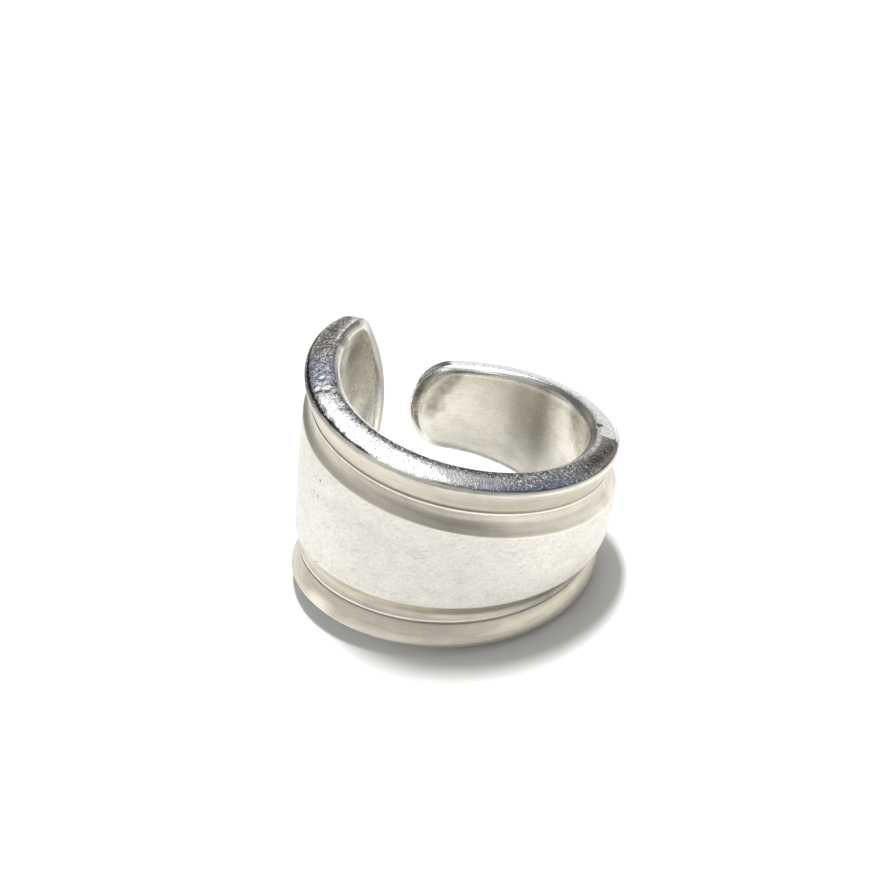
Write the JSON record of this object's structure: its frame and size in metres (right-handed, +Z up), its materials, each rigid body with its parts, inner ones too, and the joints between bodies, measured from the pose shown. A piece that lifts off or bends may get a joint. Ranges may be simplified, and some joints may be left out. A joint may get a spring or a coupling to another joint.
{
  "type": "spoon ring",
  "caption": "Wide open-ended finger ring bent from a flat metal handle end, tapering from a broad arched end to a narrow round one, with stepped borders along both edges.",
  "frame": {"origin": "centre of the ring's box at the height of the surface that it lies on", "axes": "+Z up from the surface, +X to the right of the band's front, -Y out of the front, with the finger hollow leaning about 10 degrees from +Z towards +X"},
  "size_m": [0.0222, 0.0206, 0.0167],
  "materials": {
    "silver": "worn polish on the rims, satin with fine scratches in the panel"
  },
  "bodies": {
    "root": {"band": "silver"}
  },
  "joints": []
}
